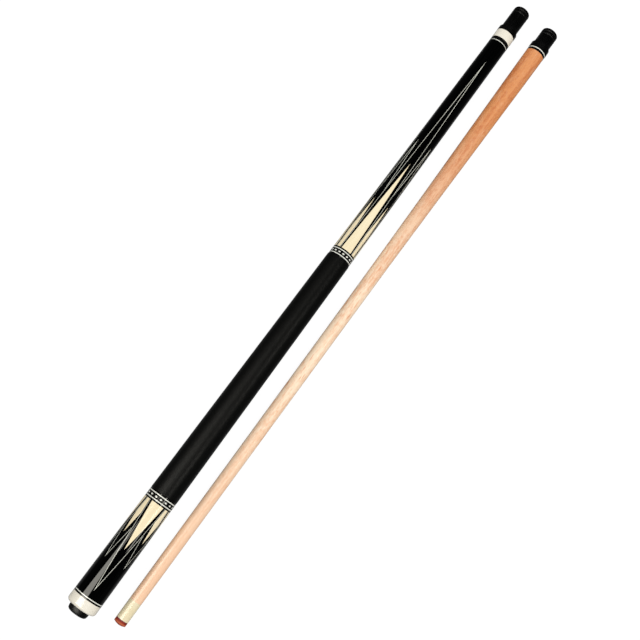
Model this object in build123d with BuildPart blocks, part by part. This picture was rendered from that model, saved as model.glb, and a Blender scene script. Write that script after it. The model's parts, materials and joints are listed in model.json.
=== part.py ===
from build123d import *
import math
import os

os.makedirs("parts", exist_ok=True)

# A two-piece pool cue taken apart: the butt and the shaft lie side by side on a table,
# each with a screw-on joint protector. Millimetres, +Z up, the joint ends point to +X.
# Each half is turned about its own axis, so a station is a distance along that axis:
# from the rear face of the butt cap on the butt, from the top of the tip on the shaft.

# Butt: stations along the axis
bumper_length = 6.6
cap_black_from = 10.9
cap_silver_from = 12.6
sleeve_from = 13.5
sleeve_to = 118.3
stack_length = 10.0
wrap_from = sleeve_to + stack_length
wrap_to = 420.3
forearm_from = wrap_to + stack_length
forearm_to = 719.3
joint_black_from = 720.0
collar_from = 724.4
butt_length = 734.8

# Butt: radii
butt_rear_radius = 15.5
butt_front_radius = 10.6
cap_radius = 15.6
cap_edge_round = 3.4
collar_radius = 10.65
wrap_thickness = 1.2
wrap_proud_rear = 0.1
wrap_proud_front = 0.3
rear_tenon_radius = 8.5
front_tenon_radius = 7.5
collar_tenon_radius = 7.0
forearm_core_radius = 7.5
sleeve_core_radius = 10.0

# Ring stacks beside the wrap: black edge, silver, dotted black band, silver, black edge
stack_edge = 1.7
stack_silver = 1.0
stack_band = stack_length - 2 * (stack_edge + stack_silver)
dot_count = 16
dot_half_length = 1.4
dot_half_width = 0.82
dot_depth = 1.5

# Inlaid points: four long and four short ones on the forearm and on the sleeve
point_count = 4
pattern_turn = 3.5
short_turn = 45.0
groove_overrun = 2.0
groove_width = 14.0

# Tenons inside the butt, and the stud that joins the handle to the forearm
rear_tenon_from = 3.0
front_tenon_length = 25.0
collar_tenon_to = butt_length - 3.0
stud_radius = 4.75
stud_from = wrap_to - 38.0
stud_to = forearm_from + 38.0

# Weight bolt and bumper
bolt_radius = 6.35
bolt_from = 18.0
bolt_to = 68.0
bolt_key_radius = 3.0
bolt_key_depth = 6.0
bumper_radius = 10.5
bumper_side = 3.0
bumper_round = 3.6
bumper_flat_radius = 7.0
bumper_gap = 0.05
stem_radius = 6.3
stem_length = 14.0

# Joint threads
pin_radius = 4.75
pin_lead = 1.5
pin_buried = 49.0
pin_exposed = 27.0
shaft_stud_reach = 20.0
shaft_stud_seat = 20.0
thread_clearance = 0.05
thread_bore = pin_radius + thread_clearance

# Shaft: stations and radii
pad_from = 4.9
ferrule_from = 5.7
shaft_wood_from = 26.2
shaft_black_from = 729.9
shaft_silver_from = 732.6
shaft_length = 733.7
shaft_taper = [
    (shaft_wood_from, 6.42),
    (350.0, 7.18),
    (440.0, 7.5),
    (525.0, 8.25),
    (613.0, 9.3),
    (690.0, 10.2),
    (shaft_black_from, 10.5),
]
tip_radius = 6.35
tip_dome_radius = 13.5
tip_dome_height = tip_dome_radius - math.sqrt(tip_dome_radius**2 - tip_radius**2)
ferrule_radius = 6.4
ferrule_tenon_radius = 4.0
ferrule_bore_from = 8.0
shaft_joint_radius = 10.55
shaft_tenon_radius = 7.6
insert_radius = 6.5
insert_length = 24.0

# Joint protectors: distances from the joint face
protector_gap = 0.1
foot_radius = 10.75
barrel_radius = 9.2
protector_round = 3.0
butt_protector_length = 36.0
butt_foot_length = 5.5
shaft_protector_length = 29.0
shaft_foot_length = 7.3
shoulder_length = 3.0
grip_ring_offsets = (4.4, 8.2)
grip_ring_width = 1.3
grip_ring_depth = 0.8
grip_ring_proud = 0.12

# How the two halves lie
axis_spacing = 38.4
shaft_ahead = 7.1
rest_gap = 0.12
cap_rest_station = 8.0
foot_rest_station = 3.0


def lying_plane(x, y, station_a, height_a, station_b, height_b):
    """Side plane of a stick: sketch X runs along its axis, sketch Y is its radius."""
    slope = (height_b - height_a) / (station_b - station_a)
    tilt = math.asin(slope)
    start_height = height_a - slope * station_a
    along = (math.cos(tilt), 0, math.sin(tilt))
    return Plane(origin=(x, y, start_height), x_dir=along, z_dir=(0, -1, 0))


overall_length = bumper_length + butt_length + butt_protector_length
butt_x = bumper_length - overall_length / 2
butt_y = axis_spacing / 2 - (cap_radius - foot_radius) / 2
shaft_y = butt_y - axis_spacing
butt = lying_plane(
    butt_x,
    butt_y,
    cap_rest_station,
    cap_radius + rest_gap,
    butt_length + foot_rest_station,
    foot_radius + rest_gap,
)
shaft = lying_plane(
    butt_x + shaft_ahead,
    shaft_y,
    ferrule_from,
    ferrule_radius + rest_gap,
    shaft_length + foot_rest_station,
    foot_radius + rest_gap,
)


def keep(piece, label):
    """Label a finished piece and write it."""
    piece.part.label = label
    export_step(piece.part, "parts/" + label + ".step")


def stick_axis(stick):
    return Axis(stick.origin, stick.x_dir)


def turn(stick, outline, mode=Mode.ADD):
    """Turn a closed outline of (station, radius) corners about the axis of a stick."""
    with BuildSketch(stick) as profile:
        with BuildLine():
            Polyline(*outline, close=True)
        make_face()
    revolve(profiles=profile.sketch, axis=stick_axis(stick), mode=mode)


def rod(stick, start, end, radius, mode=Mode.ADD):
    turn(stick, [(start, 0), (end, 0), (end, radius), (start, radius)], mode)


def pipe(stick, start, end, inner, outer, mode=Mode.ADD):
    turn(stick, [(start, inner), (end, inner), (end, outer), (start, outer)], mode)


def butt_radius(station):
    """Straight taper of the butt from the sleeve to the joint."""
    along = (station - sleeve_from) / (forearm_to - sleeve_from)
    return butt_rear_radius + (butt_front_radius - butt_rear_radius) * along


def taper_ring(stick, start, end, inner, mode=Mode.ADD):
    corners = [
        (start, inner),
        (end, inner),
        (end, butt_radius(end)),
        (start, butt_radius(start)),
    ]
    turn(stick, corners, mode)


def cross_plane(stick, station):
    """Plane across a stick at a station, facing along it."""
    centre = stick.origin + stick.x_dir * station
    return Plane(origin=centre, x_dir=stick.z_dir, z_dir=stick.x_dir)


def outward(turned):
    """Unit vector away from the butt's axis, turned from the top towards the shaft."""
    angle = math.radians(turned)
    up = butt.y_dir
    side = butt.z_dir
    return up * math.cos(angle) + side * math.sin(angle)


def groove_planes(base, reach, half_angle, first_turn):
    """Planes across the bottom lines of square-cornered grooves, one for each point.

    A groove starts at its tip on the surface and is half_angle wide each side at base.
    """
    tip = base + reach
    half = math.radians(half_angle)
    bottom = butt_radius(base) * (math.cos(half) - math.sin(half))
    slope = (butt_radius(tip) - bottom) / reach
    planes = []
    for index in range(point_count):
        away = outward(pattern_turn + first_turn + index * 360 / point_count)
        along = (butt.x_dir + away * slope) * math.copysign(1.0, reach)
        start = butt.origin + butt.x_dir * base + away * bottom - along * groove_overrun
        planes.append(Plane(origin=start, x_dir=away.cross(along), z_dir=along))
    return planes


def cut_grooves(base, reach, half_angle, first_turn, mode=Mode.ADD):
    """Square-cornered wedges that fill the grooves, open towards the surface."""
    for plane in groove_planes(base, reach, half_angle, first_turn):
        with BuildSketch(plane) as section:
            with BuildLine():
                Polyline(
                    (0, 0),
                    (groove_width, groove_width),
                    (-groove_width, groove_width),
                    close=True,
                )
            make_face()
        extrude(section.sketch, amount=abs(reach) + 4 * groove_overrun, mode=mode)


def inlay_shell(base, reach, core):
    """Keep only what lies between the core and the surface, from base past the tip."""
    tip = base + reach * 1.08
    taper_ring(butt, min(base, tip), max(base, tip), core, Mode.INTERSECT)


def make_points(name, base, core, sizes):
    """Ivory points with their black and silver veneers, long over short."""
    edge, silver, inner, ivory = sizes["long"]
    low_silver, low_inner, low_ivory = sizes["short"]
    long_turn = 0.0
    reach = edge[0]

    with BuildPart() as long_ivory:
        cut_grooves(base, *ivory, long_turn)
        inlay_shell(base, reach, core)

    with BuildPart() as long_silver:
        cut_grooves(base, *silver, long_turn)
        cut_grooves(base, *inner, long_turn, Mode.SUBTRACT)
        inlay_shell(base, reach, core)

    with BuildPart() as long_black:
        cut_grooves(base, *edge, long_turn)
        cut_grooves(base, *silver, long_turn, Mode.SUBTRACT)
        cut_grooves(base, *inner, long_turn)
        cut_grooves(base, *ivory, long_turn, Mode.SUBTRACT)
        inlay_shell(base, reach, core)

    with BuildPart() as short_ivory:
        cut_grooves(base, *low_ivory, short_turn)
        cut_grooves(base, *edge, long_turn, Mode.SUBTRACT)
        inlay_shell(base, reach, core)

    with BuildPart() as short_silver:
        cut_grooves(base, *low_silver, short_turn)
        cut_grooves(base, *low_inner, short_turn, Mode.SUBTRACT)
        cut_grooves(base, *edge, long_turn, Mode.SUBTRACT)
        inlay_shell(base, reach, core)

    with BuildPart() as short_black:
        cut_grooves(base, *low_inner, short_turn)
        cut_grooves(base, *low_ivory, short_turn, Mode.SUBTRACT)
        cut_grooves(base, *edge, long_turn, Mode.SUBTRACT)
        inlay_shell(base, reach, core)

    pieces = {
        "long_points": long_ivory,
        "long_silver_veneers": long_silver,
        "long_black_veneers": long_black,
        "short_points": short_ivory,
        "short_silver_veneers": short_silver,
        "short_black_veneers": short_black,
    }
    for ending, piece in pieces.items():
        keep(piece, name + "_" + ending)


# Reach along the axis and half angle at the base, for each nested groove
forearm_points = {
    "long": [(266.0, 37.0), (261.0, 35.1), (246.0, 33.2), (116.5, 26.0)],
    "short": [(145.5, 34.4), (136.0, 32.9), (65.5, 18.6)],
}
sleeve_points = {
    "long": [(-99.5, 38.3), (-97.2, 36.3), (-93.2, 34.6), (-51.5, 26.3)],
    "short": [(-66.5, 34.5), (-63.6, 32.9), (-38.5, 19.4)],
}

make_points("forearm", forearm_from, forearm_core_radius, forearm_points)
make_points("sleeve", sleeve_to, sleeve_core_radius, sleeve_points)


# Black lacquered wood round the points
def carve_points(base, sizes):
    """Leave room for the outermost veneers of every point."""
    edge = sizes["long"][0]
    low_silver = sizes["short"][0]
    cut_grooves(base, *edge, 0.0, Mode.SUBTRACT)
    cut_grooves(base, *low_silver, short_turn, Mode.SUBTRACT)


with BuildPart() as forearm:
    taper_ring(butt, forearm_from, forearm_to, forearm_core_radius)
    carve_points(forearm_from, forearm_points)
    rod(butt, wrap_to - front_tenon_length, forearm_to, front_tenon_radius)
    rod(butt, forearm_to, collar_tenon_to, collar_tenon_radius)
    rod(butt, wrap_to - front_tenon_length, stud_to, stud_radius, Mode.SUBTRACT)
    rod(butt, butt_length - pin_buried, collar_tenon_to, pin_radius, Mode.SUBTRACT)
keep(forearm, "forearm")

with BuildPart() as butt_sleeve:
    taper_ring(butt, sleeve_from, sleeve_to, sleeve_core_radius)
    carve_points(sleeve_to, sleeve_points)
    pipe(butt, sleeve_from, sleeve_to, rear_tenon_radius, sleeve_core_radius)
keep(butt_sleeve, "butt_sleeve")

# Handle between the ring stacks, with a rear tenon that carries the sleeve and the cap
with BuildPart() as handle_core:
    turn(
        butt,
        [
            (wrap_from, 0),
            (wrap_to, 0),
            (wrap_to, butt_radius(wrap_to) - wrap_thickness),
            (wrap_from, butt_radius(wrap_from) - wrap_thickness),
        ],
    )
    rod(butt, rear_tenon_from, wrap_from, rear_tenon_radius)
    rod(butt, rear_tenon_from, bolt_to, bolt_radius, Mode.SUBTRACT)
    rod(butt, wrap_to - front_tenon_length, wrap_to, front_tenon_radius, Mode.SUBTRACT)
    rod(butt, stud_from, wrap_to, stud_radius, Mode.SUBTRACT)
keep(handle_core, "handle_core")

with BuildPart() as handle_wrap:
    turn(
        butt,
        [
            (wrap_from, butt_radius(wrap_from) - wrap_thickness),
            (wrap_to, butt_radius(wrap_to) - wrap_thickness),
            (wrap_to, butt_radius(wrap_to) + wrap_proud_front),
            (wrap_from, butt_radius(wrap_from) + wrap_proud_rear),
        ],
    )
keep(handle_wrap, "handle_wrap")

with BuildPart() as a_joint_stud:
    rod(butt, stud_from, stud_to, stud_radius)
keep(a_joint_stud, "a_joint_stud")


# Ring stacks: washers on the tenons on both sides of the wrap
def make_stack(name, start, bore):
    """Write the four pieces of one stack, which starts at a station."""
    silver_from = start + stack_edge
    band_from = silver_from + stack_silver
    band_to = band_from + stack_band
    silver_to = band_to + stack_silver
    end = start + stack_length
    band_middle = (band_from + band_to) / 2

    with BuildPart() as black_rings:
        taper_ring(butt, start, silver_from, bore)
        taper_ring(butt, silver_to, end, bore)
    keep(black_rings, name + "_black_rings")

    with BuildPart() as silver_rings:
        taper_ring(butt, silver_from, band_from, bore)
        taper_ring(butt, band_to, silver_to, bore)
    keep(silver_rings, name + "_silver_rings")

    def dots(mode):
        for index in range(dot_count):
            away = outward(pattern_turn + index * 360 / dot_count)
            seat = butt.origin + butt.x_dir * band_middle
            seat = seat + away * (butt_radius(band_middle) - dot_depth)
            with BuildSketch(Plane(origin=seat, x_dir=butt.x_dir, z_dir=away)) as oval:
                Ellipse(dot_half_width, dot_half_length)
            extrude(oval.sketch, amount=2 * dot_depth, mode=mode)

    with BuildPart() as dot_band:
        taper_ring(butt, band_from, band_to, bore)
        dots(Mode.SUBTRACT)
    keep(dot_band, name + "_dot_band")

    with BuildPart() as silver_dots:
        dots(Mode.ADD)
        taper_ring(butt, band_from, band_to, bore, Mode.INTERSECT)
    keep(silver_dots, name + "_silver_dots")


make_stack("lower", sleeve_to, rear_tenon_radius)
make_stack("upper", wrap_to, front_tenon_radius)

# Butt cap with its two rings, weight bolt and bumper
with BuildPart() as cap_silver_ring:
    pipe(butt, cap_silver_from, sleeve_from, rear_tenon_radius, butt_rear_radius)
keep(cap_silver_ring, "cap_silver_ring")

with BuildPart() as cap_black_ring:
    pipe(butt, cap_black_from, cap_silver_from, rear_tenon_radius, butt_rear_radius)
keep(cap_black_ring, "cap_black_ring")

with BuildPart() as butt_cap:
    with BuildSketch(butt) as cap_profile:
        with BuildLine():
            Polyline(
                (cap_edge_round, cap_radius),
                (cap_black_from, butt_rear_radius),
                (cap_black_from, rear_tenon_radius),
                (rear_tenon_from, rear_tenon_radius),
                (rear_tenon_from, bolt_radius),
                (0, bolt_radius),
                (0, cap_radius - cap_edge_round),
            )
            RadiusArc(
                (0, cap_radius - cap_edge_round),
                (cap_edge_round, cap_radius),
                cap_edge_round,
            )
        make_face()
    revolve(profiles=cap_profile.sketch, axis=stick_axis(butt))
keep(butt_cap, "butt_cap")

with BuildPart() as weight_bolt:
    rod(butt, bolt_from, bolt_to, bolt_radius)
    with BuildSketch(cross_plane(butt, bolt_from)) as key_socket:
        RegularPolygon(bolt_key_radius, 6)
    extrude(key_socket.sketch, amount=bolt_key_depth, mode=Mode.SUBTRACT)
keep(weight_bolt, "weight_bolt")

with BuildPart() as bumper:
    with BuildSketch(butt) as bumper_profile:
        with BuildLine():
            Polyline(
                (stem_length, 0),
                (stem_length, stem_radius),
                (-bumper_gap, stem_radius),
                (-bumper_gap, bumper_radius),
                (-bumper_side, bumper_radius),
            )
            ThreePointArc(
                (-bumper_side, bumper_radius),
                (-bumper_side - 0.75 * bumper_round, bumper_radius - 0.3 * bumper_round),
                (-bumper_length, bumper_flat_radius),
            )
            Polyline((-bumper_length, bumper_flat_radius), (-bumper_length, 0), (stem_length, 0))
        make_face()
    revolve(profiles=bumper_profile.sketch, axis=stick_axis(butt))
keep(bumper, "bumper")

# Joint end of the butt
with BuildPart() as joint_silver_ring:
    pipe(butt, forearm_to, joint_black_from, collar_tenon_radius, collar_radius)
keep(joint_silver_ring, "joint_silver_ring")

with BuildPart() as joint_black_ring:
    pipe(butt, joint_black_from, collar_from, collar_tenon_radius, collar_radius)
keep(joint_black_ring, "joint_black_ring")

with BuildPart() as joint_collar:
    pipe(butt, collar_from, collar_tenon_to, collar_tenon_radius, collar_radius)
    pipe(butt, collar_tenon_to, butt_length, pin_radius, collar_radius)
keep(joint_collar, "joint_collar")

with BuildPart() as joint_pin:
    turn(
        butt,
        [
            (butt_length - pin_buried, 0),
            (butt_length + pin_exposed, 0),
            (butt_length + pin_exposed, pin_radius - pin_lead),
            (butt_length + pin_exposed - pin_lead, pin_radius),
            (butt_length - pin_buried, pin_radius),
        ],
    )
keep(joint_pin, "joint_pin")

# Shaft
with BuildPart() as shaft_wood:
    with BuildSketch(shaft) as shaft_profile:
        with BuildLine():
            Line((shaft_wood_from, 0), (shaft_wood_from, shaft_taper[0][1]))
            Spline(*shaft_taper)
            Line((shaft_black_from, shaft_taper[-1][1]), (shaft_black_from, 0))
            Line((shaft_black_from, 0), (shaft_wood_from, 0))
        make_face()
    revolve(profiles=shaft_profile.sketch, axis=stick_axis(shaft))
    rod(shaft, ferrule_bore_from, shaft_wood_from, ferrule_tenon_radius)
    rod(shaft, shaft_black_from, shaft_length, shaft_tenon_radius)
    rod(shaft, shaft_length - insert_length, shaft_length, insert_radius, Mode.SUBTRACT)
keep(shaft_wood, "shaft_wood")

with BuildPart() as tip:
    with BuildSketch(shaft) as tip_profile:
        with BuildLine():
            RadiusArc((0, 0), (tip_dome_height, tip_radius), tip_dome_radius)
            Polyline((tip_dome_height, tip_radius), (pad_from, tip_radius), (pad_from, 0), (0, 0))
        make_face()
    revolve(profiles=tip_profile.sketch, axis=stick_axis(shaft))
keep(tip, "tip")

with BuildPart() as tip_pad:
    rod(shaft, pad_from, ferrule_from, tip_radius)
keep(tip_pad, "tip_pad")

with BuildPart() as ferrule:
    rod(shaft, ferrule_from, shaft_wood_from, ferrule_radius)
    rod(shaft, ferrule_bore_from, shaft_wood_from, ferrule_tenon_radius, Mode.SUBTRACT)
keep(ferrule, "ferrule")

with BuildPart() as shaft_black_collar:
    pipe(shaft, shaft_black_from, shaft_silver_from, shaft_tenon_radius, shaft_joint_radius)
keep(shaft_black_collar, "shaft_black_collar")

with BuildPart() as shaft_silver_ring:
    pipe(shaft, shaft_silver_from, shaft_length, shaft_tenon_radius, shaft_joint_radius)
keep(shaft_silver_ring, "shaft_silver_ring")

with BuildPart() as shaft_insert:
    pipe(shaft, shaft_length - insert_length, shaft_length, thread_bore, insert_radius)
keep(shaft_insert, "shaft_insert")


# Joint protectors: a shell with a foot, a shoulder and a grooved barrel, and two grip rings
def turn_protector(stick, face, foot, length):
    """Outside of a protector, turned solid, with its end rounded and its grooves cut."""
    start = face + protector_gap
    end = face + length
    foot_end = face + foot
    with BuildSketch(stick) as outline:
        with BuildLine():
            Polyline(
                (start, 0),
                (start, foot_radius),
                (foot_end, foot_radius),
                (foot_end + shoulder_length, barrel_radius),
                (end - protector_round, barrel_radius),
            )
            RadiusArc(
                (end - protector_round, barrel_radius),
                (end, barrel_radius - protector_round),
                protector_round,
            )
            Polyline((end, barrel_radius - protector_round), (end, 0), (start, 0))
        make_face()
    revolve(profiles=outline.sketch, axis=stick_axis(stick))
    for offset in grip_ring_offsets:
        groove_from = end - offset - grip_ring_width / 2
        groove_to = groove_from + grip_ring_width
        bottom = barrel_radius - grip_ring_depth
        pipe(stick, groove_from, groove_to, bottom, foot_radius, Mode.SUBTRACT)


def turn_grip_rings(stick, face, length):
    """Two rubber rings with a rounded back, seated in the grooves of a protector."""
    bottom = barrel_radius - grip_ring_depth + thread_clearance
    top = barrel_radius + grip_ring_proud
    half = grip_ring_width / 2 - thread_clearance
    for offset in grip_ring_offsets:
        middle = face + length - offset
        with BuildSketch(stick) as section:
            with BuildLine():
                Polyline(
                    (middle - half, top - half),
                    (middle - half, bottom),
                    (middle + half, bottom),
                    (middle + half, top - half),
                )
                ThreePointArc(
                    (middle - half, top - half),
                    (middle, top),
                    (middle + half, top - half),
                )
            make_face()
        revolve(profiles=section.sketch, axis=stick_axis(stick))


with BuildPart() as butt_protector:
    turn_protector(butt, butt_length, butt_foot_length, butt_protector_length)
    rod(butt, butt_length, butt_length + insert_length, insert_radius, Mode.SUBTRACT)
    rod(butt, butt_length, butt_length + pin_exposed + pin_lead, thread_bore, Mode.SUBTRACT)
keep(butt_protector, "butt_protector")

with BuildPart() as butt_protector_insert:
    insert_end = butt_length + insert_length
    pipe(butt, butt_length + protector_gap, insert_end, thread_bore, insert_radius)
keep(butt_protector_insert, "butt_protector_insert")

with BuildPart() as butt_grip_rings:
    turn_grip_rings(butt, butt_length, butt_protector_length)
keep(butt_grip_rings, "butt_grip_rings")

with BuildPart() as shaft_protector:
    turn_protector(shaft, shaft_length, shaft_foot_length, shaft_protector_length)
    rod(shaft, shaft_length, shaft_length + shaft_stud_seat, pin_radius, Mode.SUBTRACT)
keep(shaft_protector, "shaft_protector")

with BuildPart() as shaft_protector_stud:
    turn(
        shaft,
        [
            (shaft_length - shaft_stud_reach, 0),
            (shaft_length + shaft_stud_seat, 0),
            (shaft_length + shaft_stud_seat, pin_radius),
            (shaft_length - shaft_stud_reach + pin_lead, pin_radius),
            (shaft_length - shaft_stud_reach, pin_radius - pin_lead),
        ],
    )
keep(shaft_protector_stud, "shaft_protector_stud")

with BuildPart() as shaft_grip_rings:
    turn_grip_rings(shaft, shaft_length, shaft_protector_length)
keep(shaft_grip_rings, "shaft_grip_rings")
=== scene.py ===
import json
import math

import bmesh
import bpy
import numpy as np
from mathutils import Matrix, Vector

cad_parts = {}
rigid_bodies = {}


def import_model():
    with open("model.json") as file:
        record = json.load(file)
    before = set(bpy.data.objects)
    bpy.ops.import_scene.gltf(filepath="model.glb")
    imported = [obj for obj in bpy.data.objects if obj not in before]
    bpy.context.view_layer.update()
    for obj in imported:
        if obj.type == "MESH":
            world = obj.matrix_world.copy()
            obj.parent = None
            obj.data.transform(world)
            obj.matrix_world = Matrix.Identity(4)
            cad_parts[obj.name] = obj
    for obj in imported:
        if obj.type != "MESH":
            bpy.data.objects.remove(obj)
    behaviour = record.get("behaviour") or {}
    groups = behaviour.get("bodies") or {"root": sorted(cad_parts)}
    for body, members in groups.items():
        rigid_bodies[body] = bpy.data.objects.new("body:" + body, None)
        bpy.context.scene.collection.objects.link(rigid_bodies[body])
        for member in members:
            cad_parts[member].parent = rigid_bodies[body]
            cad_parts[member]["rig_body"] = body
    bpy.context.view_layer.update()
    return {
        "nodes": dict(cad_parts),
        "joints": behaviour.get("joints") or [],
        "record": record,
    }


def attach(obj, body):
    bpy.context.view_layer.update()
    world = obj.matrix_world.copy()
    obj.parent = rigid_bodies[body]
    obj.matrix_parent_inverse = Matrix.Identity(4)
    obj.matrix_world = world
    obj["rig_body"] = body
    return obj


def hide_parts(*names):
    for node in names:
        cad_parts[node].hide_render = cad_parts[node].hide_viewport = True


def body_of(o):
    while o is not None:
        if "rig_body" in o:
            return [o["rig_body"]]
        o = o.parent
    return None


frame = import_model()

mm = 0.001
weld = 0.0005 * mm  # points nearer to each other than this are one
nodes = frame["nodes"]
joints = {joint["name"]: joint for joint in frame["joints"]}
slotOfNode = {part["node"]: part["material_slot"] for part in frame["record"]["subparts"]}

# camera: looks down on both halves from beside the butt end
cameraSetup = {
    "target": (-0.0234, -0.0044, 0.0134),  # where the view axis meets the butt's height
    "distance": 1.0603,
    "lean": 11.8,  # degrees away from straight down, towards the butt end
    "turn": 53.67,  # degrees that the halves climb across the view
    "lens": 59.06,
}


def placeCamera(setup):
    camera = bpy.data.objects.new("camera", bpy.data.cameras.new("camera"))
    camera.data.lens = setup["lens"]
    camera.data.sensor_width = 36.0
    lean = Matrix.Rotation(math.radians(-setup["lean"]), 4, "Y")
    turn = Matrix.Rotation(math.radians(-setup["turn"]), 4, "Z")
    back = Matrix.Translation((0, 0, setup["distance"]))
    camera.matrix_world = Matrix.Translation(setup["target"]) @ lean @ turn @ back
    bpy.context.scene.collection.objects.link(camera)
    bpy.context.scene.camera = camera


placeCamera(cameraSetup)
bpy.context.scene.view_settings.view_transform = "Standard"
print("camera placed")


# each stick has its own frame: +Z runs along it from the joint face, +X is up
def stickPlace(turnJoint):
    along = Vector(joints[turnJoint]["axis"]).normalized()
    side = Vector((0, -1, 0))
    up = side.cross(along)
    place = Matrix((up, side, along)).transposed().to_4x4()
    place.translation = Vector(joints[turnJoint]["pos_m"])
    return place


sticks = {
    "butt": stickPlace("butt_protector_turn"),
    "shaft": stickPlace("shaft_protector_turn"),
}


def stickOf(node):
    return "shaft" if body_of(nodes[node])[0].startswith("shaft") else "butt"


# where a node starts and ends along its stick, and its outer radius at both ends
def measure(node):
    inverse = sticks[stickOf(node)].inverted()
    points = np.array([inverse @ vertex.co for vertex in nodes[node].data.vertices])
    along = points[:, 2]
    radius = np.hypot(points[:, 0], points[:, 1])
    start = along.min()
    end = along.max()
    near = 0.02 * mm
    return {
        "start": start,
        "end": end,
        "startRadius": radius[along < start + near].max(),
        "endRadius": radius[along > end - near].max(),
        "radius": radius.max(),
        "bore": radius.min(),
    }


# finishes: every pattern is laid out in the frame of the stick that it is on
narrowSpread = (0.3, 0.7)  # the noise values taken as its lowest and highest
wideSpread = (0.2, 0.8)


def newMaterial(name, roughness, **shaderValues):
    material = bpy.data.materials.new(name)
    material.use_nodes = True
    tree = material.node_tree
    shader = tree.nodes["Principled BSDF"]
    shader.inputs["Roughness"].default_value = roughness
    for socket, value in shaderValues.items():
        shader.inputs[socket.replace("_", " ")].default_value = value
    return material, tree, shader


def addNode(tree, kind, values=None, **settings):
    made = tree.nodes.new("ShaderNode" + kind)
    for key, value in settings.items():
        setattr(made, key, value)
    for key, value in (values or {}).items():
        if isinstance(value, bpy.types.NodeSocket):
            tree.links.new(value, made.inputs[key])
        else:
            made.inputs[key].default_value = value
    return made


# a point on the piece in its stick's own frame, stretched by a scale
def stickPoint(tree, stick, scale=(1, 1, 1)):
    place = sticks[stick]
    point = addNode(tree, "TexCoord").outputs["Object"]
    values = {"Vector": point, "Location": place.translation, "Rotation": place.to_euler()}
    centred = addNode(tree, "Mapping", values, vector_type="TEXTURE").outputs[0]
    return addNode(tree, "Mapping", {"Vector": centred, "Scale": scale}).outputs[0]


def noise(tree, point, scale, detail=3.0, roughness=0.5, distortion=0.0):
    values = {
        "Vector": point,
        "Scale": scale,
        "Detail": detail,
        "Roughness": roughness,
        "Distortion": distortion,
    }
    return addNode(tree, "TexNoise", values).outputs["Fac"]


# noise with its own fineness, in waves a metre: twice across the stick, then along it
def stickNoise(tree, stick, fineness, detail=3.0, roughness=0.5, distortion=0.0):
    return noise(tree, stickPoint(tree, stick, fineness), 1.0, detail, roughness, distortion)


# fine lines left by the lathe, across the stick
def latheLines(tree, stick, perMetre):
    return stickNoise(tree, stick, (3, 3, perMetre), 2.0)


def ramp(tree, factor, stops):
    made = addNode(tree, "ValToRGB", {"Fac": factor})
    band = made.color_ramp
    while len(band.elements) < len(stops):
        band.elements.new(0.5)
    for element, (place, colour) in zip(band.elements, stops):
        element.position = place
        element.color = (*colour, 1.0) if isinstance(colour, tuple) else (colour,) * 3 + (1.0,)
    return made.outputs["Color"]


def blendColours(tree, factor, first, second, how="MIX"):
    made = addNode(tree, "Mix", data_type="RGBA", blend_type=how)
    for index, value in ((0, factor), (6, first), (7, second)):
        if isinstance(value, bpy.types.NodeSocket):
            tree.links.new(value, made.inputs[index])
        else:
            made.inputs[index].default_value = (*value, 1.0)
    return made.outputs[2]


def blendValues(tree, factor, first, second):
    return addNode(tree, "Mix", {0: factor, 2: first, 3: second}, data_type="FLOAT").outputs[0]


def mapRange(tree, value, fromLow, fromHigh, toLow=0.0, toHigh=1.0, how="LINEAR"):
    values = {
        "Value": value,
        "From Min": fromLow,
        "From Max": fromHigh,
        "To Min": toLow,
        "To Max": toHigh,
    }
    return addNode(tree, "MapRange", values, interpolation_type=how).outputs[0]


def calculate(tree, how, *values):
    return addNode(tree, "Math", dict(enumerate(values)), operation=how).outputs[0]


def bump(tree, shader, height, strength, distance):
    values = {"Height": height, "Strength": strength, "Distance": distance}
    tree.links.new(addNode(tree, "Bump", values).outputs[0], shader.inputs["Normal"])


def setColour(tree, shader, colour):
    tree.links.new(colour, shader.inputs["Base Color"])


def setRoughness(tree, shader, pattern, spread, roughness):
    tree.links.new(mapRange(tree, pattern, *spread, *roughness), shader.inputs["Roughness"])


blackWoodLook = {
    "pores": (0.0003, 0.0003, 0.0004),
    "wood": (0.0011, 0.0012, 0.0013),
    "grain": (900, 900, 30),
    "roughness": (0.32, 0.5),
}


def blackLacquer(name, stick):
    look = blackWoodLook
    material, tree, shader = newMaterial(
        name, 0.4, Coat_Weight=1.0, Coat_Roughness=0.03, Specular_IOR_Level=0.0
    )
    grain = stickNoise(tree, stick, look["grain"], 4.0, 0.6)
    setColour(tree, shader, ramp(tree, grain, [(0.35, look["pores"]), (0.65, look["wood"])]))
    setRoughness(tree, shader, grain, narrowSpread, look["roughness"])
    return material


ivoryLook = {
    "pale": (0.94, 0.83, 0.57),
    "warm": (0.88, 0.735, 0.47),
    "streak": (0.78, 0.60, 0.36),
    "clouds": (160, 160, 14),
    "streaks": (1500, 1500, 25),
    "roughness": (0.25, 0.38),
}


def ivoryInlay(name, stick):
    look = ivoryLook
    material, tree, shader = newMaterial(name, 0.3, Coat_Weight=1.0, Coat_Roughness=0.03)
    clouds = stickNoise(tree, stick, look["clouds"], 3.0, 0.55, 0.4)
    body = ramp(tree, clouds, [(0.3, look["warm"]), (0.7, look["pale"])])
    streaks = stickNoise(tree, stick, look["streaks"], 2.0)
    faint = mapRange(tree, streaks, 0.55, 0.8, 0.0, 0.35)
    setColour(tree, shader, blendColours(tree, faint, body, look["streak"]))
    setRoughness(tree, shader, clouds, wideSpread, look["roughness"])
    return material


silverVeneerLook = {
    "bright": (0.66, 0.66, 0.57),
    "dull": (0.50, 0.50, 0.42),
    "fibres": (1200, 1200, 40),
    "roughness": (0.25, 0.45),
}


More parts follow.
